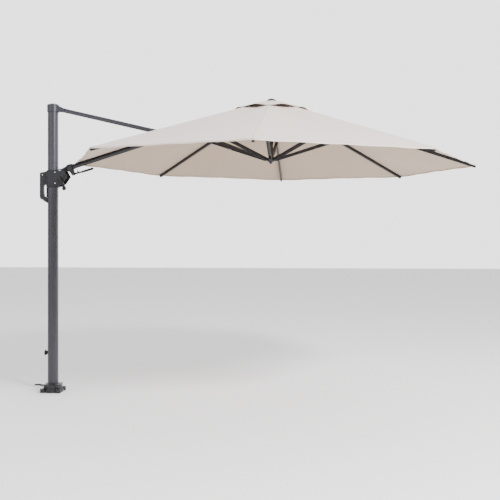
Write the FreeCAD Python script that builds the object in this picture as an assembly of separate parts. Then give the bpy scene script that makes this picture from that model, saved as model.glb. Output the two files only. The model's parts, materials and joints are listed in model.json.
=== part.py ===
import FreeCAD, Part
import math
import os

# Cantilever parasol. Millimetres. The origin is on the mast's axis at the underside of the base,
# +X points along the boom towards the canopy, +Z is up.

V = FreeCAD.Vector
X, Y, Z = V(1, 0, 0), V(0, 1, 0), V(0, 0, 1)

# ---- driving dimensions -------------------------------------------------------------------------
HUB_X, TIP_PLANE_Z = 1951.3, 2013.6      # canopy axis, and height of the plane of the eight tips
CANOPY_LEAN = 0.708                      # degrees, the canopy's outer edge hangs lower
TIP_R = 1750.0                           # canopy radius to a rib's tip
RIB_PIVOT_R, RIB_PIVOT_Z = 55.0, 529.0   # rib hinge, measured in the canopy's own axes
RIB_SLOPE = 17.7                         # degrees
RIB_W, RIB_H, RIB_WALL = 16.0, 26.0, 1.6
STAY_L = 800.0                           # pivot to pivot, and the same distance along the rib
STAY_W, STAY_H, STAY_GAP = 26.0, 24.0, 19.0
RIB_LENGTH = (TIP_R - RIB_PIVOT_R) / math.cos(math.radians(RIB_SLOPE))

MAST_W, MAST_CORNER, MAST_WALL = 90.0, 38.0, 3.0
MAST_BOTTOM, MAST_TOP = 80.0, 2555.0
HEAD_PIVOT = V(80, 0, 2516)
SLIDER_PIVOT = V(80, 0, 1972)
ARM_PIVOT = V(1050, 0, 2244)
STRUT_SLOPE, STRUT_R = 13.4, 19.0

BOOM_R, BOOM_WALL = 21.0, 2.5
BOOM_DROP = 10.0                         # boom axis below the rib line that it stands in for
SLEEVE_BORE = BOOM_R + 0.05

BASE_R, BASE_H = 92.0, 24.0
BOLT_SPACING, BOLT_HOLE_R = 140.0, 6.5
BASE_LOBE_R, BASE_LOBE_H = 24.0, 35.0
SWIVEL_GAP_Z = 40.5
SLIDER_BOTTOM, SLIDER_TOP, SLIDER_HALF = 1828.0, 1971.0, 55.0
PIN_R, PIN_CLEARANCE = 3.0, 0.05
FABRIC_T = 1.0
FABRIC_LIFT = 15.3                       # fabric's underside above the rib line, measured upright

RIB_AZIMUTH = {1: 225, 2: 270, 3: 315, 4: 0, 5: 45, 6: 90, 7: 135, 8: 180}


# ---- helpers ------------------------------------------------------------------------------------
def block(x0, x1, y0, y1, z0, z1):
    return Part.makeBox(x1 - x0, y1 - y0, z1 - z0, V(x0, y0, z0))


def rod(radius, start, axis, length):
    return Part.makeCylinder(radius, length, start, axis)


def cross_rod(radius, x, z, half):
    """A rod along Y, centred on the XZ plane."""
    return rod(radius, V(x, -half, z), Y, 2 * half)


def sleeve(outer, inner, start, axis, length):
    return rod(outer, start, axis, length).cut(rod(inner, start - axis * 1, axis, length + 2))


def plate(outline, y0, y1):
    """A plate in the XZ plane between two values of Y."""
    points = [V(x, y0, z) for x, z in outline]
    return Part.Face(Part.makePolygon(points + points[:1])).extrude(V(0, y1 - y0, 0))


def link(a, ra, b, rb, y0, y1):
    """A flat link with a round end at each of two points (x, z)."""
    dx, dz = b[0] - a[0], b[1] - a[1]
    length = math.hypot(dx, dz)
    nx, nz = -dz / length, dx / length
    sides = [(a[0] + nx * ra, a[1] + nz * ra), (b[0] + nx * rb, b[1] + nz * rb),
             (b[0] - nx * rb, b[1] - nz * rb), (a[0] - nx * ra, a[1] - nz * ra)]
    ends = [rod(r, V(p[0], y0, p[1]), Y, y1 - y0) for p, r in ((a, ra), (b, rb))]
    return plate(sides, y0, y1).fuse(ends).removeSplitter()


def mirrored(shape):
    """The same solid on the other side of the XZ plane."""
    return shape.mirror(V(0, 0, 0), Y)


def rounded_bar(width, depth, corner, z0, z1):
    bar = block(-width / 2, width / 2, -depth / 2, depth / 2, z0, z1)
    upright = [e for e in bar.Edges if abs(e.tangentAt(e.FirstParameter).z) > 0.99]
    return bar.makeFillet(corner, upright)


def placed(shape, placement):
    result = shape.copy()
    result.Placement = placement.multiply(result.Placement)
    return result


def save(name, *shapes):
    shape = shapes[0] if len(shapes) == 1 else Part.makeCompound(list(shapes))
    shape.exportStep("parts/" + name + ".step")
    print(name, len(shape.Solids), shape.isValid(), round(shape.Volume / 1000, 1))


def turned(degrees, axis=Y):
    return FreeCAD.Rotation(axis, degrees)


CANOPY = FreeCAD.Placement(V(HUB_X, 0, TIP_PLANE_Z), turned(CANOPY_LEAN))


def spoke(number):
    """The canopy's axes turned so that +X runs out over one rib."""
    return CANOPY.multiply(FreeCAD.Placement(V(), turned(RIB_AZIMUTH[number], Z)))


def rib_frame(number):
    """Origin at the rib's hinge, +X along the rib, +Y along the hinge pin."""
    hinge = V(RIB_PIVOT_R, 0, RIB_PIVOT_Z)
    return spoke(number).multiply(FreeCAD.Placement(hinge, turned(RIB_SLOPE)))


def stay_frame(number):
    """Origin at the stay's upper pin, +X down towards the runner, +Z on the stay's lower side."""
    return rib_frame(number).multiply(
        FreeCAD.Placement(V(STAY_L, 0, 0), turned(180 - 2 * RIB_SLOPE)))


BOOM = rib_frame(8).multiply(FreeCAD.Placement(V(0, 0, -BOOM_DROP), turned(0)))
STRUT = FreeCAD.Placement(HEAD_PIVOT, turned(STRUT_SLOPE))
RUNNER_PIVOT_Z = RIB_PIVOT_Z - 2 * STAY_L * math.sin(math.radians(RIB_SLOPE))


# ---- base ---------------------------------------------------------------------------------------
def base_plate():
    body = rod(BASE_R, V(), Z, BASE_H).fuse(rod(84, V(0, 0, BASE_H), Z, 16))
    corners = [V(sx * BOLT_SPACING / 2, sy * BOLT_SPACING / 2, 0) for sx in (-1, 1) for sy in (-1, 1)]
    body = body.fuse([rod(BASE_LOBE_R, c, Z, BASE_LOBE_H) for c in corners])
    body = body.cut([rod(BOLT_HOLE_R, c - Z, Z, BASE_LOBE_H + 2) for c in corners])
    body = body.cut(rod(20, V(0, 0, 12), Z, 40))
    save("base_plate", body.removeSplitter())


def king_pin():
    save("king_pin", rod(20, V(0, 0, 12), Z, 60))


# ---- mast ---------------------------------------------------------------------------------------
PEDAL_PIVOT = V(-86, 0, 52)


def swivel_housing():
    shell = rod(78, V(0, 0, SWIVEL_GAP_Z), Z, 23.5)
    shell = shell.fuse(Part.makeCone(78, 58, 16, V(0, 0, 64), Z))
    shoulders = [rod(17, V(52 * sx, 52 * sy, SWIVEL_GAP_Z), Z, 31) for sx in (-1, 1) for sy in (-1, 1)]
    ears = [block(-96, -60, y, y + 6, 43, 61) for y in (-15, 9)]
    shell = shell.fuse(shoulders + ears)
    shell = shell.cut(rod(20.05, V(0, 0, 30), Z, 44))
    shell = shell.cut(block(-100, -74, -9, 9, 40, 70))
    shell = shell.cut(cross_rod(4, PEDAL_PIVOT.x, PEDAL_PIVOT.z, 20))
    save("swivel_housing", shell.removeSplitter())
    save("pedal_pin", cross_rod(4, PEDAL_PIVOT.x, PEDAL_PIVOT.z, 17))


def foot_pedal():
    arm = link((PEDAL_PIVOT.x, PEDAL_PIVOT.z), 8, (-124, 55), 6, -8.4, 8.4)
    pad = block(-165, -122, -24, 24, 52, 62)
    pad = pad.makeFillet(4, [e for e in pad.Edges if abs(e.tangentAt(e.FirstParameter).y) < 0.01])
    pedal = arm.fuse(pad).cut(cross_rod(4 + PIN_CLEARANCE, PEDAL_PIVOT.x, PEDAL_PIVOT.z, 12))
    save("foot_pedal", pedal.removeSplitter())


CLAMP_Z = 346.0


def mast_tube():
    inner = MAST_W - 2 * MAST_WALL
    tube = rounded_bar(MAST_W, MAST_W, MAST_CORNER, MAST_BOTTOM, MAST_TOP)
    tube = tube.cut(rounded_bar(inner, inner, MAST_CORNER - MAST_WALL, MAST_BOTTOM - 1, MAST_TOP + 1))
    tube = tube.cut(rod(6.05, V(-50, 0, CLAMP_Z), X, 12))
    save("mast_tube", tube)
    spigot = rounded_bar(inner, inner, MAST_CORNER - MAST_WALL, MAST_BOTTOM, 220)
    save("mast_spigot", spigot.cut(rod(26, V(0, 0, MAST_BOTTOM - 1), Z, 160)))


def mast_head():
    cap = rounded_bar(102, 102, 44, 2498, 2562)
    dome = Part.makeCone(51, 34, 9, V(0, 0, 2562), Z)
    cap = cap.fuse(dome).cut(rounded_bar(MAST_W, MAST_W, MAST_CORNER, 2490, MAST_TOP))
    for side in (-1, 1):
        y0, y1 = sorted((side * 14.5, side * 23))
        cap = cap.fuse(link((44, 2527), 27, (HEAD_PIVOT.x + 8, HEAD_PIVOT.z), 19, y0, y1))
    cap = cap.cut(rounded_bar(MAST_W, MAST_W, MAST_CORNER, 2490, MAST_TOP))
    cap = cap.cut(cross_rod(6, HEAD_PIVOT.x, HEAD_PIVOT.z, 30))
    save("mast_head", cap.removeSplitter())
    pin = cross_rod(6, HEAD_PIVOT.x, HEAD_PIVOT.z, 23)
    caps = [rod(9, HEAD_PIVOT + V(0, s * 24.5 - 1.5, 0), Y, 3) for s in (-1, 1)]
    save("head_pin", pin.fuse(caps).removeSplitter())


def clamp_knob():
    stem = rod(6, V(-54, 0, CLAMP_Z), X, 15)
    head = Part.makeCone(25, 13, 17, V(-69, 0, CLAMP_Z), X)
    face = Part.makeCone(20, 25, 6, V(-75, 0, CLAMP_Z), X)
    grips = [rod(3.4, V(-80, 25 * math.cos(a), CLAMP_Z + 25 * math.sin(a)), X, 16)
             for a in [i * math.pi / 4 for i in range(8)]]
    save("clamp_knob", head.fuse([stem, face]).cut(grips).removeSplitter())


# ---- upper arm ----------------------------------------------------------------------------------
STRUT_END = 890.0
CROSSHEAD = STRUT_END + 8.0


def strut_tube():
    tube = sleeve(STRUT_R, STRUT_R - 2.5, V(40, 0, 0), X, STRUT_END - 40)
    save("strut_tube", placed(tube, STRUT))


def strut_ends():
    lug = link((0, 0), 15, (34, 0), 19, -14, 14).cut(block(40, 70, -20, 20, -20, 20))
    lug = lug.cut(cross_rod(6 + PIN_CLEARANCE, 0, 0, 20))
    save("strut_top_lug", placed(lug.removeSplitter(), STRUT))
    p = STRUT.inverse().multVec(ARM_PIVOT)
    fork = block(STRUT_END, STRUT_END + 22, -30, 30, -17, 17)
    for side in (-1, 1):
        y0, y1 = sorted((side * 26, side * 30))
        fork = fork.fuse(link((CROSSHEAD + 2, 0), 16, (p.x, p.z), 12, y0, y1))
    fork = fork.cut(cross_rod(4, p.x, p.z, 40)).cut(block(800, STRUT_END, -40, 40, -40, 40))
    save("strut_fork", placed(fork.removeSplitter(), STRUT))
    pin = cross_rod(4, p.x, p.z, 30)
    heads = [rod(7, V(p.x, s * 31.5 - 1.5, p.z), Y, 3) for s in (-1, 1)]
    save("arm_pin", placed(pin.fuse(heads).removeSplitter(), STRUT))


# ---- boom carrier: collar, tilt housing and lever ------------------------------------------------
def boom_collar():
    p = BOOM.inverse().multVec(ARM_PIVOT)
    ring = rod(25, V(p.x - 30, 0, 0), X, 60)
    lug = link((p.x, p.z), 12, (p.x, -10), 16, -12, 12)
    collar = ring.fuse(lug).cut(rod(SLEEVE_BORE, V(p.x - 31, 0, 0), X, 62))
    collar = collar.cut(cross_rod(4 + PIN_CLEARANCE, p.x, p.z, 20))
    save("boom_collar", placed(collar.removeSplitter(), BOOM))


TILT_PIVOT = V(186, 0, 1942)


def tilt_housing():
    s = BOOM.inverse().multVec(SLIDER_PIVOT)
    t = BOOM.inverse().multVec(TILT_PIVOT)
    shell = rod(32, V(s.x - 106, 0, 0), X, 46).fuse(Part.makeCone(32, 20, 14, V(s.x - 60, 0, 0), X))
    arm = link((s.x, s.z), 15, (s.x - 70, 0), 24, -13.8, 13.8)
    arm = arm.fuse(cross_rod(14, s.x, s.z, SLIDER_HALF - 8.6))
    lobe = link((t.x, t.z), 13, (s.x - 86, -18), 22, -14, 14)
    shell = shell.fuse([arm, lobe])
    shell = shell.cut(rod(SLEEVE_BORE, V(s.x - 110, 0, 0), X, 48))
    shell = shell.cut(block(t.x - 30, t.x + 13, -7, 7, t.z - 14, t.z + 13))
    shell = shell.cut(cross_rod(3, t.x, t.z, 20)).cut(cross_rod(6.05, s.x, s.z, 60))
    save("tilt_housing", placed(shell.removeSplitter(), BOOM))
    save("tilt_pin", placed(cross_rod(3, t.x, t.z, 13), BOOM))


def tilt_lever():
    blade = link((TILT_PIVOT.x, TILT_PIVOT.z), 8, (268, 1962), 6, -6.5, 6.5)
    grip = link((262, 1960), 7.5, (360, 1989), 9, -11, 11)
    tab = link((230, 1954), 6, (226, 1974), 4, -5, 5)
    lever = blade.fuse([grip, tab]).cut(cross_rod(PIN_R + PIN_CLEARANCE, TILT_PIVOT.x, TILT_PIVOT.z, 9))
    save("tilt_lever", lever.removeSplitter())


# ---- slider, winch and handle ------------------------------------------------------------------
CRANK_AXIS = V(77, 0, 1908)
CRANK_END = V(132, 0, 1809)
# The crank arm turns just outside the slider's bolt heads.
CRANK_GAP = 4.0


def slider_body():
    bore = rounded_bar(MAST_W + 1.2, MAST_W + 1.2, MAST_CORNER + 0.6, SLIDER_BOTTOM - 5, SLIDER_TOP + 5)
    core = rounded_bar(110, 110, 36, SLIDER_BOTTOM, SLIDER_TOP)
    collar = rounded_bar(103, 103, 33, SLIDER_BOTTOM - 4, SLIDER_TOP + 4)
    core = core.fuse(collar)
    outline = [(0, 1971), (62, 1978), (70, 1984), (96, 1984), (122, 1966), (146, 1918),
               (104, 1858), (72, 1832), (0, 1828)]
    for side in (-1, 1):
        y0, y1 = sorted((side * (SLIDER_HALF - 8), side * SLIDER_HALF))
        cheek = plate(outline, y0, y1)
        cheek = cheek.fuse(rod(16, V(SLIDER_PIVOT.x, y0, SLIDER_PIVOT.z), Y, y1 - y0))
        core = core.fuse(cheek)
    web = block(88, 96, -50, 50, 1852, 1862)
    core = core.fuse(web).cut(bore)
    core = core.cut(cross_rod(6, SLIDER_PIVOT.x, SLIDER_PIVOT.z, 70))
    core = core.cut(cross_rod(5 + PIN_CLEARANCE, CRANK_AXIS.x, CRANK_AXIS.z, 70))
    save("slider_body", core.removeSplitter())
    pin = cross_rod(6, SLIDER_PIVOT.x, SLIDER_PIVOT.z, SLIDER_HALF)
    heads = [rod(8, V(SLIDER_PIVOT.x, s * (SLIDER_HALF + 1.5) - 1.5, SLIDER_PIVOT.z), Y, 3)
             for s in (-1, 1)]
    save("slider_pin", pin.fuse(heads).removeSplitter())
    spots = [(38, 1955), (38, 1858)]
    bolts = [rod(6, V(x, -SLIDER_HALF - 3.2, z), Y, 3.2) for x, z in spots]
    bolts += [rod(5, V(-92, -17 - 3, z), Y, 3) for z in (1936, 1716)]
    save("slider_bolts", *(bolts + [mirrored(b) for b in bolts]))


def slider_handle():
    outline = [(-50, 1968), (-112, 1958), (-119, 1948), (-119, 1738), (-113, 1724), (-50, 1685)]
    opening = [(-56, 1850), (-80, 1846), (-85, 1834), (-84, 1778), (-78, 1746), (-56, 1733)]
    grip = plate(outline, -17, 17)
    grip = grip.makeFillet(6, [e for e in grip.Edges if e.BoundBox.YLength < 0.1
                               and e.BoundBox.XMax < -100])
    grip = grip.cut(plate(opening, -20, 20)).cut(block(-60, -45, -10.2, 10.2, 1730, 1862))
    grip = grip.cut(rounded_bar(110, 110, 36, SLIDER_BOTTOM - 4, SLIDER_TOP + 4))
    save("slider_handle", grip.removeSplitter())
    trigger = block(-59.5, -53, -10, 10, 1738, 1822)
    trigger = trigger.makeFillet(2, trigger.Edges)
    save("release_trigger", trigger)


def crank():
    axis = (CRANK_AXIS.x, CRANK_AXIS.z)
    end = (CRANK_END.x, CRANK_END.z)
    near = -SLIDER_HALF - CRANK_GAP
    shaft = rod(5, V(axis[0], near - 4.5, axis[1]), Y, SLIDER_HALF - near + 4.5)
    drum = cross_rod(15, axis[0], axis[1], 30).cut(cross_rod(5, axis[0], axis[1], 40))
    save("winch_spool", drum)
    arm = link(axis, 12, end, 9, near - 11, near)
    save("crank_arm", arm.cut(rod(5, V(axis[0], near - 4.5, axis[1]), Y, 10)).removeSplitter())
    save("winch_shaft", shaft)
    save("crank_spindle", rod(4, V(end[0], near - 33, end[1]), Y, 22))
    knob = Part.makeCone(18, 13, 24, V(end[0], near - 36, end[1]), Y)
    save("crank_knob", knob.cut(rod(4.05, V(end[0], near - 33.5, end[1]), Y, 30)).removeSplitter())


# ---- boom ---------------------------------------------------------------------------------------
def boom():
    s = BOOM.inverse().multVec(SLIDER_PIVOT)
    tube = sleeve(BOOM_R, BOOM_R - BOOM_WALL, V(60, 0, 0), X, s.x - 76 - 60)
    save("boom_tube", placed(tube, BOOM))
    eye = block(0, 60, -7, 7, -11, 11).fuse(cross_rod(11, 0, 0, 7))
    socket = rod(24, V(52, 0, -BOOM_DROP), X, 46).cut(rod(BOOM_R, V(60, 0, -BOOM_DROP), X, 50))
    head = eye.fuse(socket).cut(cross_rod(PIN_R + PIN_CLEARANCE, 0, 0, 10))
    head = head.cut(block(40, 110, -40, 40, 11, 40))
    save("boom_head", placed(head.removeSplitter(), rib_frame(8)))


def boom_fittings():
    clip_x = (TIP_R + 8 - RIB_PIVOT_R) / math.cos(math.radians(RIB_SLOPE))
    clip = sleeve(24, BOOM_R, V(clip_x, 0, 0), X, 8)
    save("boom_tip_clip", placed(clip, BOOM))
    ring = rod(26, V(STAY_L - 20, 0, 0), X, 40)
    bosses = cross_rod(7, STAY_L, BOOM_DROP, 43.5)
    ring = ring.fuse(bosses).cut(rod(BOOM_R, V(STAY_L - 21, 0, 0), X, 42))
    ring = ring.cut(block(STAY_L - 30, STAY_L + 30, -30, 30, BOOM_R - 0.5, 40))
    stubs = [rod(4, V(STAY_L, y, BOOM_DROP), Y, 6.5) for y in (-50, 43.5)]
    save("boom_stay_collar", placed(ring.fuse(stubs).removeSplitter(), BOOM))


# ---- canopy frame -------------------------------------------------------------------------------
EAR_GAP, EAR_W = RIB_W / 2 + 0.4, 3.0


def crown():
    body = rod(40, V(0, 0, RIB_PIVOT_Z - 14), Z, 30)
    body = body.fuse(rod(30, V(0, 0, RIB_PIVOT_Z + 15), Z, 5.5))
    pins = []
    for number in RIB_AZIMUTH:
        turn = FreeCAD.Placement(V(), turned(RIB_AZIMUTH[number], Z))
        for side in (-1, 1):
            y0, y1 = sorted((side * EAR_GAP, side * (EAR_GAP + EAR_W)))
            ear = block(34, RIB_PIVOT_R, y0, y1, RIB_PIVOT_Z - 10, RIB_PIVOT_Z + 10)
            ear = ear.fuse(rod(10, V(RIB_PIVOT_R, y0, RIB_PIVOT_Z), Y, y1 - y0))
            ear = ear.cut(cross_rod(PIN_R, RIB_PIVOT_R, RIB_PIVOT_Z, 20))
            body = body.fuse(placed(ear, turn))
        pins.append(placed(cross_rod(PIN_R, RIB_PIVOT_R, RIB_PIVOT_Z, EAR_GAP + EAR_W + 1), turn))
    save("hub_crown", placed(body.removeSplitter(), CANOPY))
    save("hub_pins", *[placed(pin, CANOPY) for pin in pins])


def finial():
    top = RIB_PIVOT_Z + 20.5
    disc = rod(42, V(0, 0, top), Z, 6)
    sphere_r = 60.0
    dome = Part.makeSphere(sphere_r, V(0, 0, top + 24 - sphere_r))
    dome = dome.common(rod(40, V(0, 0, top + 6), Z, 40))
    save("finial", placed(disc.fuse(dome).removeSplitter(), CANOPY))


def rib(number):
    half_w, half_h = RIB_W / 2, RIB_H / 2
    root = block(13, 34, -half_w, half_w, -half_h, half_h)
    root = root.fuse(link((0, 0), 11, (20, 0), 11, -half_w, half_w))
    root = root.cut(cross_rod(PIN_R + PIN_CLEARANCE, 0, 0, 12)).removeSplitter()
    tube = block(34, RIB_LENGTH - 14, -half_w, half_w, -half_h, half_h)
    inner_w, inner_h = half_w - RIB_WALL, half_h - RIB_WALL
    tube = tube.cut(block(30, RIB_LENGTH, -inner_w, inner_w, -inner_h, inner_h))
    tube = tube.cut(cross_rod(PIN_R, STAY_L, 0, 12))
    cap = block(RIB_LENGTH - 14, RIB_LENGTH, -9, 9, -half_h, half_h)
    cap = cap.makeFillet(3, [e for e in cap.Edges if e.BoundBox.XMin > RIB_LENGTH - 1])
    head_y = STAY_W / 2 + 1.1
    pin = cross_rod(PIN_R, STAY_L, 0, head_y)
    heads = [rod(5, V(STAY_L, s * head_y - 0.8, 0), Y, 1.6) for s in (-1, 1)]
    pin = pin.fuse(heads).removeSplitter()
    save("rib_%d" % number, *[placed(s, rib_frame(number)) for s in (root, tube, cap, pin)])


def channel(x0, x1, web0, web1):
    """Two side plates and a web, open on the stay's lower side, with round ends at x0 and x1."""
    inner, outer, half = STAY_GAP / 2, STAY_W / 2, STAY_H / 2
    sides = [link((x0, 0), half, (x1, 0), half, *sorted((s * inner, s * outer))) for s in (-1, 1)]
    web = block(web0, web1, -outer, outer, -half, -half + 2.5)
    return sides[0].fuse([sides[1], web])


def stay(number):
    body = channel(0, STAY_L, 52, STAY_L - 34)
    for x in (0, STAY_L):
        body = body.cut(cross_rod(PIN_R + PIN_CLEARANCE, x, 0, 20))
    save("stay_%d" % number, placed(body.removeSplitter(), stay_frame(number)))


def boom_stay():
    """The stay at the boom: twin bars pass on both sides of the boom and meet in a channel."""
    split = 480.0
    fork = channel(split + 20, STAY_L, split + 10, STAY_L - 34)
    crosshead = block(split, split + 20, -48, 48, -10, 10)
    bars = []
    for side in (-1, 1):
        y0, y1 = sorted((side * 44, side * 48))
        bars.append(link((0, 0), 7, (split + 8, 0), 9, y0, y1))
    body = crosshead.fuse(bars + [fork])
    body = body.cut(cross_rod(4 + PIN_CLEARANCE, 0, 0, 60))
    body = body.cut(cross_rod(PIN_R + PIN_CLEARANCE, STAY_L, 0, 20))
    save("stay_8", placed(body.removeSplitter(), stay_frame(8)))


def runner():
    body = rod(42, V(0, 0, RUNNER_PIVOT_Z - 12), Z, 24)
    pins = []
    for number in RIB_AZIMUTH:
        turn = FreeCAD.Placement(V(), turned(RIB_AZIMUTH[number], Z))
        lug = block(34, RIB_PIVOT_R, -8.5, 8.5, RUNNER_PIVOT_Z - 9, RUNNER_PIVOT_Z + 9)
        lug = lug.fuse(cross_rod(9, RIB_PIVOT_R, RUNNER_PIVOT_Z, 8.5))
        lug = lug.cut(cross_rod(PIN_R, RIB_PIVOT_R, RUNNER_PIVOT_Z, 10))
        body = body.fuse(placed(lug, turn))
        pins.append(placed(cross_rod(PIN_R, RIB_PIVOT_R, RUNNER_PIVOT_Z, 14.2), turn))
    save("runner", placed(body.removeSplitter(), CANOPY))
    save("runner_pins", *[placed(pin, CANOPY) for pin in pins])
    low = RUNNER_PIVOT_Z - 12
    cap = Part.makeCone(13, 36, 16, V(0, 0, low - 16), Z).fuse(rod(11, V(0, 0, low - 26), Z, 12))
    save("runner_cap", placed(cap, CANOPY))
    post_z = RUNNER_PIVOT_Z + 12
    post = sleeve(20, 17, V(0, 0, post_z), Z, RIB_PIVOT_Z - 15 - post_z)
    save("centre_post", placed(post, CANOPY))


# ---- fabric, as flat gores ----------------------------------------------------------------------
def gore(azimuth, r0, z0, r1, z1):
    corners = []
    for r, z, a in ((r0, z0, azimuth), (r1, z1, azimuth), (r1, z1, azimuth + 45), (r0, z0, azimuth + 45)):
        corners.append(V(r * math.cos(math.radians(a)), r * math.sin(math.radians(a)), z))
    return Part.Face(Part.makePolygon(corners + corners[:1])).extrude(V(0, 0, FABRIC_T))


def fabric():
    drop = math.tan(math.radians(RIB_SLOPE))
    inner_r, outer_r = 75.0, TIP_R + 2
    heights = [RIB_PIVOT_Z - (r - RIB_PIVOT_R) * drop + FABRIC_LIFT for r in (inner_r, outer_r)]
    pivot = CANOPY.inverse().multVec(ARM_PIVOT)
    slit = block(pivot.x - 120, pivot.x + 70, -38, 38, 0, 400)
    gores = [gore(a, inner_r, heights[0], outer_r, heights[1]).cut(slit) for a in range(0, 360, 45)]
    save("canopy", *[placed(g, CANOPY) for g in gores])
    vents = [gore(a, 44, 548, 320, 481) for a in range(0, 360, 45)]
    save("vent_cap", *[placed(v, CANOPY) for v in vents])


def main():
    os.makedirs("parts", exist_ok=True)
    base_plate()
    king_pin()
    swivel_housing()
    foot_pedal()
    mast_tube()
    mast_head()
    clamp_knob()
    strut_tube()
    strut_ends()
    boom_collar()
    tilt_housing()
    tilt_lever()
    slider_body()
    slider_handle()
    crank()
    boom()
    boom_fittings()
    crown()
    finial()
    for number in range(1, 8):
        rib(number)
        stay(number)
    boom_stay()
    runner()
    fabric()


main()
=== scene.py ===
import json
import math
import bpy
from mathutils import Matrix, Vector

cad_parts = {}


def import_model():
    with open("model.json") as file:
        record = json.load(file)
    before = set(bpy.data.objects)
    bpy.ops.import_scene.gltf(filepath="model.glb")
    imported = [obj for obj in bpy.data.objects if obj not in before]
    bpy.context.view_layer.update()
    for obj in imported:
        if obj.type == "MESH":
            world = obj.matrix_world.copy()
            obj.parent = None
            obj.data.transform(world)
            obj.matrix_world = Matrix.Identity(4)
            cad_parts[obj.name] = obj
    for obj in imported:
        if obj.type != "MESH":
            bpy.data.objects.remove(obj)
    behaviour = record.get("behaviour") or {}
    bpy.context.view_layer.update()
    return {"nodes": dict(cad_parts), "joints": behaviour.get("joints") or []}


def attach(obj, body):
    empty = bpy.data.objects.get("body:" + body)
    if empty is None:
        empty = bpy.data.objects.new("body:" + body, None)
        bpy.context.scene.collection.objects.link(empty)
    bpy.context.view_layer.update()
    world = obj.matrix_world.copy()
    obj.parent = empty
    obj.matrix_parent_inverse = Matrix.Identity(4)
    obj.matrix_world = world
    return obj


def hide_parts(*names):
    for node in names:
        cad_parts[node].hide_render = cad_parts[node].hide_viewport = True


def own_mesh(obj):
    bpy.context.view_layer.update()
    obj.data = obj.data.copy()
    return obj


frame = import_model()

# ---- driving sizes, in metres ------------------------------------------------------------------
RIB_SLOPE = math.radians(17.7)
HINGE_R = 0.055               # rib hinges' circle
FABRIC_R = 1.752              # fabric's edge, along a rib
INNER_R = 0.075               # main canopy's inner edge, under the vent cap
FABRIC_LIFT = 0.0153          # cloth's underside above the rib's centre line
CLOTH_T = 0.0010
GORE = math.radians(45)
SAG = 0.020                   # middle of a gore, below the straight panel
EDGE_SCALLOP = 0.012          # edge drawn in between two tips
VENT_INNER_R, VENT_R = 0.044, 0.322
VENT_TOP, VENT_DROP = 0.0192, 0.0775
VENT_BOW = 0.6                # 1 would be an octagon, 0 a circle
SLIT_L, SLIT_W = 0.19, 0.07   # opening in the canopy for the upper arm's fork
SLIT_DEPTH = 0.6              # depth of the block that cuts it
SEAM_W = 0.012
HEM_T, SEAM_T, PATCH_T = 0.0008, 0.0007, 0.0008   # extra cloth on top of the panel
PATCH_LIFT = 0.0012           # patch's underside above the cloth's underside
PATCH_INNER, PATCH_OUTER = 0.036, 0.058   # patch's half-widths at the slit and at its outer edge
SLIT_OFFSET = 0.025           # slit's middle, outward of the upper arm's pivot
VALANCE_H = 0.009             # strip that hangs at the edge
VALANCE_R = 0.0022            # its distance outside the edge
AZIMUTH = {1: 225, 2: 270, 3: 315, 4: 0, 5: 45, 6: 90, 7: 135, 8: 180}

JOINTS = {j["name"]: j for j in frame["joints"]}


def pivot(number):
    name = "canopy_fold" if number == 8 else "rib_%d_fold" % number
    return Vector(JOINTS[name]["pos_m"])


# the canopy's own axes: origin at the middle of the rib hinges
HUB = (pivot(4) + pivot(8)) / 2
HUB_X = (pivot(4) - pivot(8)).normalized()
HUB_Y = Vector((0, 1, 0))
HUB_Z = HUB_X.cross(HUB_Y)
ARM_PIVOT = Vector(JOINTS["arm_pivot"]["pos_m"])
ARM_R = -(ARM_PIVOT - HUB).dot(HUB_X)   # the upper arm's pivot, out from the hub along the boom


def world(r, azimuth, z):
    return HUB + HUB_X * (r * math.cos(azimuth)) + HUB_Y * (r * math.sin(azimuth)) + HUB_Z * z


def body_of_rib(number):
    return "boom" if number == 8 else "rib_%d" % number


# ---- materials -----------------------------------------------------------------------------------
def new_material(name, colour, roughness, metallic=0.0):
    mat = bpy.data.materials.new(name)
    mat.use_nodes = True
    shader = mat.node_tree.nodes["Principled BSDF"]
    shader.inputs["Base Color"].default_value = (*colour, 1)
    shader.inputs["Roughness"].default_value = roughness
    shader.inputs["Metallic"].default_value = metallic
    return mat, mat.node_tree, shader


def add(tree, kind, **inputs):
    node = tree.nodes.new(kind)
    for key, value in inputs.items():
        node.inputs[key].default_value = value
    return node


def mottled(tree, shader, coords, colour, scale, spread):
    """Colour that wanders gently about its mean."""
    noise = add(tree, "ShaderNodeTexNoise", Scale=scale, Detail=5.0, Roughness=0.6)
    ramp = tree.nodes.new("ShaderNodeValToRGB")
    ramp.color_ramp.elements[0].position = 0.3
    ramp.color_ramp.elements[1].position = 0.7
    ramp.color_ramp.elements[0].color = (*[c * (1 - spread) for c in colour], 1)
    ramp.color_ramp.elements[1].color = (*[min(1, c * (1 + spread)) for c in colour], 1)
    tree.links.new(coords.outputs["Object"], noise.inputs["Vector"])
    tree.links.new(noise.outputs["Fac"], ramp.inputs["Fac"])
    tree.links.new(ramp.outputs["Color"], shader.inputs["Base Color"])
    return noise


def rough_range(tree, source, shader, low, high):
    spread = add(tree, "ShaderNodeMapRange")
    spread.inputs["To Min"].default_value = low
    spread.inputs["To Max"].default_value = high
    tree.links.new(source.outputs["Fac"], spread.inputs["Value"])
    tree.links.new(spread.outputs["Result"], shader.inputs["Roughness"])


def grainy(tree, shader, coords, scale, strength, depth):
    grain = add(tree, "ShaderNodeTexNoise", Scale=scale, Detail=3.0)
    bump = add(tree, "ShaderNodeBump", Strength=strength, Distance=depth)
    tree.links.new(coords.outputs["Object"], grain.inputs["Vector"])
    tree.links.new(grain.outputs["Fac"], bump.inputs["Height"])
    tree.links.new(bump.outputs["Normal"], shader.inputs["Normal"])


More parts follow.
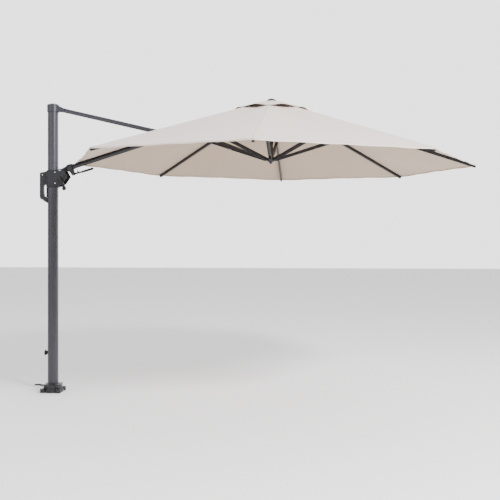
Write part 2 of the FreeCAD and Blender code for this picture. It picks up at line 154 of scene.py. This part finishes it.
def powder_coat(name, colour, roughness=0.38):
    mat, tree, shader = new_material(name, colour, roughness)
    shader.inputs["Specular IOR Level"].default_value = 0.45
    coords = tree.nodes.new("ShaderNodeTexCoord")
    noise = mottled(tree, shader, coords, colour, 9.0, 0.12)
    rough_range(tree, noise, shader, roughness - 0.06, roughness + 0.08)
    grainy(tree, shader, coords, 1400.0, 0.12, 0.0003)
    shader.inputs["Coat Weight"].default_value = 0.15
    shader.inputs["Coat Roughness"].default_value = 0.3
    return mat


def moulded_plastic(name, colour, roughness=0.5):
    mat, tree, shader = new_material(name, colour, roughness)
    coords = tree.nodes.new("ShaderNodeTexCoord")
    noise = mottled(tree, shader, coords, colour, 30.0, 0.15)
    rough_range(tree, noise, shader, roughness - 0.08, roughness + 0.1)
    grainy(tree, shader, coords, 700.0, 0.2, 0.0004)
    return mat


def zinc_steel(name):
    colour = (0.56, 0.57, 0.6)
    mat, tree, shader = new_material(name, colour, 0.3, 1.0)
    coords = tree.nodes.new("ShaderNodeTexCoord")
    noise = mottled(tree, shader, coords, colour, 120.0, 0.15)
    rough_range(tree, noise, shader, 0.22, 0.42)
    return mat


def woven(name, colour, thread=0.0011, sheen=0.3):
    """Plain weave: two sets of threads at right angles, on a colour that wanders gently."""
    mat, tree, shader = new_material(name, colour, 0.88)
    coords = tree.nodes.new("ShaderNodeTexCoord")
    mottled(tree, shader, coords, colour, 2.2, 0.035)
    waves = []
    for direction in ("X", "Y"):
        wave = add(tree, "ShaderNodeTexWave", Scale=1 / (thread * 20) * 3.14, Distortion=0.6)
        wave.bands_direction = direction
        tree.links.new(coords.outputs["Object"], wave.inputs["Vector"])
        waves.append(wave)
    total = tree.nodes.new("ShaderNodeMath")
    total.operation = "ADD"
    tree.links.new(waves[0].outputs["Fac"], total.inputs[0])
    tree.links.new(waves[1].outputs["Fac"], total.inputs[1])
    bump = add(tree, "ShaderNodeBump", Strength=0.18, Distance=0.0003)
    tree.links.new(total.outputs["Value"], bump.inputs["Height"])
    tree.links.new(bump.outputs["Normal"], shader.inputs["Normal"])
    shader.inputs["Sheen Weight"].default_value = sheen
    shader.inputs["Sheen Roughness"].default_value = 0.5
    return mat


ANTHRACITE = powder_coat("anthracite_coat", (0.030, 0.029, 0.039))
BASE_COAT = powder_coat("base_coat", (0.008, 0.008, 0.012), 0.34)
FRAME_COAT = powder_coat("frame_coat", (0.007, 0.007, 0.010), 0.45)
PLASTIC = moulded_plastic("moulded_black", (0.006, 0.006, 0.009))
SOFT_GRIP = moulded_plastic("soft_grip", (0.008, 0.008, 0.010), 0.68)
STEEL = zinc_steel("zinc_steel")
CLOTH_TOP = woven("cloth_top", (0.63, 0.545, 0.50))
# painted shade: the same cloth's colour made darker and browner, for the canopy's shaded underside
CLOTH_UNDER_SHADED = woven("cloth_under_painted_shade", (0.43, 0.315, 0.225))
CLOTH_SEAM = woven("cloth_seam", (0.61, 0.525, 0.48))
REINFORCEMENT = woven("cloth_reinforcement", (0.40, 0.33, 0.27))

FINISH = {
    ANTHRACITE: ["mast_tube", "strut_tube", "mast_head", "strut_top_lug", "strut_fork",
                 "boom_collar", "head_pin", "arm_pin"],
    BASE_COAT: ["base_plate", "swivel_housing"],
    FRAME_COAT: ["boom_tube", "boom_head", "boom_stay_collar", "centre_post", "mast_spigot"]
    + ["rib_%d" % k for k in range(1, 8)] + ["stay_%d" % k for k in range(1, 9)],
    PLASTIC: ["tilt_housing", "slider_body", "crank_arm", "winch_spool", "finial", "hub_crown",
              "runner", "runner_cap", "boom_tip_clip", "slider_handle"],
    SOFT_GRIP: ["foot_pedal", "clamp_knob", "tilt_lever", "release_trigger", "crank_knob"],
    STEEL: ["king_pin", "pedal_pin", "tilt_pin", "slider_pin",
            "slider_bolts", "winch_shaft", "crank_spindle", "hub_pins", "runner_pins"],
}


def finish_cad_nodes():
    for material, names in FINISH.items():
        for name in names:
            if name not in frame["nodes"]:
                continue
            obj = bpy.data.objects[name]
            obj.data.materials.clear()
            obj.data.materials.append(material)
            for polygon in obj.data.polygons:
                polygon.material_index = 0


# ---- mesh helpers --------------------------------------------------------------------------------
def new_piece(name, verts, faces, *materials, smooth=True):
    mesh = bpy.data.meshes.new(name)
    mesh.from_pydata([tuple(v) for v in verts], [], faces)
    mesh.update()
    obj = bpy.data.objects.new(name, mesh)
    bpy.context.scene.collection.objects.link(obj)
    for material in materials:
        mesh.materials.append(material)
    for polygon in mesh.polygons:
        polygon.use_smooth = smooth
    return obj


def apply_modifiers(obj):
    graph = bpy.context.evaluated_depsgraph_get()
    mesh = bpy.data.meshes.new_from_object(obj.evaluated_get(graph))
    obj.modifiers.clear()
    obj.data = mesh


def thicken(obj, thickness, offset=1.0):
    modifier = obj.modifiers.new("thickness", "SOLIDIFY")
    modifier.thickness = thickness
    modifier.offset = offset
    modifier.use_even_offset = True
    modifier.material_offset = 1 if len(obj.data.materials) > 1 else 0
    modifier.material_offset_rim = 0
    apply_modifiers(obj)


def grid_faces(rows, columns):
    return [(i * columns + j, (i + 1) * columns + j, (i + 1) * columns + j + 1, i * columns + j + 1)
            for i in range(rows - 1) for j in range(columns - 1)]


def smoothstep(x):
    x = min(1.0, max(0.0, x))
    return x * x * (3 - 2 * x)


# ---- the canopy's surface ------------------------------------------------------------------------
def canopy_point(number, along, across, lift=0.0):
    """The cloth's underside. along runs from 0 at the inner edge to 1 at the hem, across from -1
    to 1 between the middles of the two gores that meet on this rib."""
    rib_r = INNER_R + (FABRIC_R - INNER_R) * along
    delta = across * GORE / 2
    w = abs(across)
    chord = rib_r * math.cos(GORE / 2) / math.cos(GORE / 2 - abs(delta))
    belly = math.sin(math.pi * along ** 0.85)
    chord -= EDGE_SCALLOP * smoothstep(w) * along ** 6
    z = FABRIC_LIFT - (rib_r - HINGE_R) * math.tan(RIB_SLOPE)
    z -= SAG * smoothstep(w) * belly
    z -= 0.0035 * math.sin(w * math.pi * 2) ** 2 * along ** 3
    return world(chord, math.radians(AZIMUTH[number]) + delta, z + lift)


def valance_point(number, down, across):
    """The hanging strip: down runs from 0 at the canopy's edge to 1 at its lower hem."""
    edge = canopy_point(number, 1, across)
    outward = edge - HUB
    outward -= HUB_Z * outward.dot(HUB_Z)
    outward.normalize()
    drop = VALANCE_H * (1 + 0.10 * math.cos(math.pi * across))
    if number == 8:
        lateral = abs((edge - HUB).dot(HUB_Y))
        drop *= smoothstep((lateral - 0.026) / 0.012) * 0.97 + 0.03
    return edge + outward * VALANCE_R * min(1, down * 3) - HUB_Z * drop * down


def vent_point(number, along, across, lift=0.0):
    rib_r = VENT_INNER_R + (VENT_R - VENT_INNER_R) * along
    delta = across * GORE / 2
    w = abs(across)
    chord = rib_r * math.cos(GORE / 2 * (1 - (1 - VENT_BOW) * along)) / math.cos(GORE / 2 - abs(delta))
    chord = min(chord, rib_r)
    z = VENT_TOP - VENT_DROP * along ** 1.12
    z -= 0.007 * math.cos(math.pi * across) * along ** 3
    return world(chord, math.radians(AZIMUTH[number]) + delta, z + lift)


def strip_on(surface, number, alongs, acrosses, lift, thickness, name, material):
    """A narrow band of cloth on the canopy, such as a hem."""
    verts = [surface(number, a, c, lift) for a in alongs for c in acrosses]
    obj = new_piece(name, verts, grid_faces(len(alongs), len(acrosses)), material)
    thicken(obj, thickness)
    return obj


def spread(start, end, count):
    return [start + (end - start) * i / (count - 1) for i in range(count)]


def cut_slit(obj):
    """The opening at the boom that the upper arm's fork passes through."""
    centre = HUB - HUB_X * (ARM_R + SLIT_OFFSET)
    bpy.ops.mesh.primitive_cube_add(size=1, location=centre - HUB_Z * 0.25)
    cutter = bpy.context.object
    cutter.scale = (SLIT_L, SLIT_W, SLIT_DEPTH)
    modifier = obj.modifiers.new("slit", "BOOLEAN")
    modifier.operation = "DIFFERENCE"
    modifier.object = cutter
    modifier.solver = "EXACT"
    apply_modifiers(obj)
    bpy.data.objects.remove(cutter)


def flat_kite(inner_r, outer_r, slope, bow):
    """Width, length and area of a panel's cut. It is a kite with its long diagonal on the rib and
    the middles of two neighbouring edges at its sides. bow is 1 for straight edges."""
    half_gore = GORE / 2
    width = 2 * outer_r * math.cos(bow * half_gore) * math.sin(half_gore)
    length = (outer_r - inner_r) / math.cos(slope)
    plan_area = (outer_r ** 2 - inner_r ** 2) * math.cos(bow * half_gore) * math.sin(half_gore)
    gore_slope = math.atan(math.tan(slope) / math.cos(bow * half_gore))
    return width, length, plan_area / math.cos(gore_slope)


def paint_underside_shade(cloth, number):
    """Faces that look down, or in towards the hub, get painted shade: a darker, browner copy of the
    cloth's top colour.
    """
    azimuth = math.radians(AZIMUTH[number])
    out = HUB_X * math.cos(azimuth) + HUB_Y * math.sin(azimuth)
    for polygon in cloth.data.polygons:
        facing_down = polygon.normal.dot(HUB_Z) < -0.5
        facing_in = abs(polygon.normal.dot(HUB_Z)) < 0.5 and polygon.normal.dot(out) < -0.3
        polygon.material_index = 1 if facing_down or facing_in else 0


def make_kite(kind, surface, number, rows, columns):
    grid = [surface(number, a, c) for a in spread(0, 1, rows) for c in spread(-1, 1, columns)]
    if kind == "canopy":
        downs = (0.12, 0.4, 0.7, 1.0)
        grid += [valance_point(number, d, c) for d in downs for c in spread(-1, 1, columns)]
        rows += len(downs)
    cloth = new_piece("%s_panel_%d" % (kind, number), grid, grid_faces(rows, columns),
                      CLOTH_TOP, CLOTH_UNDER_SHADED)
    if cloth.data.polygons[0].normal.dot(HUB_Z) < 0:
        cloth.data.flip_normals()
    for polygon in cloth.data.polygons:
        polygon.material_index = 0
    thicken(cloth, CLOTH_T)
    # faces that look down or inwards get the painted-shade copy of the cloth colour
    paint_underside_shade(cloth, number)
    cloth.data.set_sharp_from_angle(angle=math.radians(50))
    return cloth


def seam_bands(kind, surface, number, hem_share, seam_half):
    columns = spread(-1, 1, 33)
    hem = strip_on(surface, number, spread(1 - hem_share, 0.9995, 4), columns, CLOTH_T, HEM_T,
                   "%s_hem_%d" % (kind, number), CLOTH_SEAM)
    alongs = spread(0.02, 1 - hem_share, 40)
    verts = []
    for a in alongs:
        r = max(0.05, (surface(number, a, 0) - HUB).length)
        share = min(0.9, seam_half / (r * math.tan(GORE / 2)))
        verts += [surface(number, a, c, CLOTH_T) for c in (-share, 0, share)]
    seam = new_piece("%s_seam_%d" % (kind, number), verts, grid_faces(len(alongs), 3), CLOTH_SEAM)
    thicken(seam, SEAM_T)
    return [hem, seam]


def slit_patch():
    """Reinforcing band sewn round the opening at the boom."""
    count = 40
    outline = []
    for i in range(count):
        angle = 2 * math.pi * i / count
        outline.append((math.cos(angle), math.sin(angle)))
    straight = SLIT_L / 2 - PATCH_INNER
    verts = []
    for growth in (PATCH_INNER, PATCH_OUTER):
        for c, s in outline:
            x = straight * (1 if c > 0 else -1) * min(1, abs(c) * 1.8) + growth * c
            y = growth * max(-1, min(1, s * 1.35))
            r = ARM_R + SLIT_OFFSET + x
            along = (r - INNER_R) / (FABRIC_R - INNER_R)
            across = math.atan2(abs(y), r) / (GORE / 2) * (1 if y > 0 else -1)
            verts.append(canopy_point(8, along, across, PATCH_LIFT))
    faces = [(i, (i + 1) % count, count + (i + 1) % count, count + i) for i in range(count)]
    patch = new_piece("slit_patch", verts, faces, REINFORCEMENT)
    thicken(patch, PATCH_T)
    return patch


def canopy_cloth():
    for number in AZIMUTH:
        body = body_of_rib(number)
        for kind, surface, node, rows, columns, hem, cut in (
                ("canopy", canopy_point, "canopy", 61, 33, 0.017,
                 (INNER_R, FABRIC_R, RIB_SLOPE, 1.0)),
                ("vent", vent_point, "vent_cap", 17, 25, 0.07,
                 (VENT_INNER_R, VENT_R, math.atan(VENT_DROP / (VENT_R - VENT_INNER_R)), VENT_BOW))):
            cloth = make_kite(kind, surface, number, rows, columns)
            bands = seam_bands(kind, surface, number, hem, SEAM_W / 2)
            if kind == "canopy" and number == 8:
                cut_slit(cloth)
                cut_slit(bands[1])
                bands.append(slit_patch())
            width, length, area = flat_kite(*cut)
            if kind == "canopy":
                length += VALANCE_H
                area += 2 * FABRIC_R * math.sin(GORE / 2) * VALANCE_H
                if number == 8:
                    area -= SLIT_L * SLIT_W / math.cos(RIB_SLOPE)
            for piece in [cloth] + bands:
                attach(piece, body)
                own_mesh(piece)
            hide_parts(node)


# ---- stage, light and camera -------------------------------------------------------------------
def stage():
    bpy.ops.mesh.primitive_plane_add(size=60, location=(0, 0, -0.0005))
    floor = bpy.context.object
    floor.name = "floor"
    mat, _, _ = new_material("floor_white", (0.9, 0.9, 0.9), 0.9)
    floor.data.materials.append(mat)
    world_data = bpy.data.worlds.new("studio")
    bpy.context.scene.world = world_data
    world_data.use_nodes = True
    tree = world_data.node_tree
    background = tree.nodes["Background"]
    background.inputs["Color"].default_value = (1, 1, 1, 1)
    coords = tree.nodes.new("ShaderNodeTexCoord")
    split = tree.nodes.new("ShaderNodeSeparateXYZ")
    wall = add(tree, "ShaderNodeMapRange")
    for name, value in (("From Min", -0.2), ("From Max", 0.6), ("To Min", 0.55), ("To Max", 2.6)):
        wall.inputs[name].default_value = value
    tree.links.new(coords.outputs["Generated"], split.inputs["Vector"])
    tree.links.new(split.outputs["Y"], wall.inputs["Value"])
    tree.links.new(wall.outputs["Result"], background.inputs["Strength"])


def light(name, location, target, energy, size):
    data = bpy.data.lights.new(name, "AREA")
    data.energy = energy
    data.size = size
    obj = bpy.data.objects.new(name, data)
    obj.location = location
    obj.rotation_euler = (Vector(target) - Vector(location)).to_track_quat("-Z", "Y").to_euler()
    bpy.context.scene.collection.objects.link(obj)


def lights():
    light("key", (6.5, -5.5, 6.0), (1.0, 0, 1.8), 1500, 1.6)
    light("fill", (-4.0, -6.0, 3.0), (0.5, 0, 1.5), 90, 3.0)


def camera():
    data = bpy.data.cameras.new("camera")
    data.sensor_width = 36.0
    data.lens = 56.43
    data.shift_y = -0.0217
    obj = bpy.data.objects.new("camera", data)
    obj.location = (2.4056, -6.8215, 1.3611)
    obj.rotation_euler = (math.radians(90), 0, math.radians(5.323))
    bpy.context.scene.collection.objects.link(obj)
    bpy.context.scene.camera = obj


stage()
lights()
camera()
finish_cad_nodes()
canopy_cloth()

bpy.context.view_layer.update()
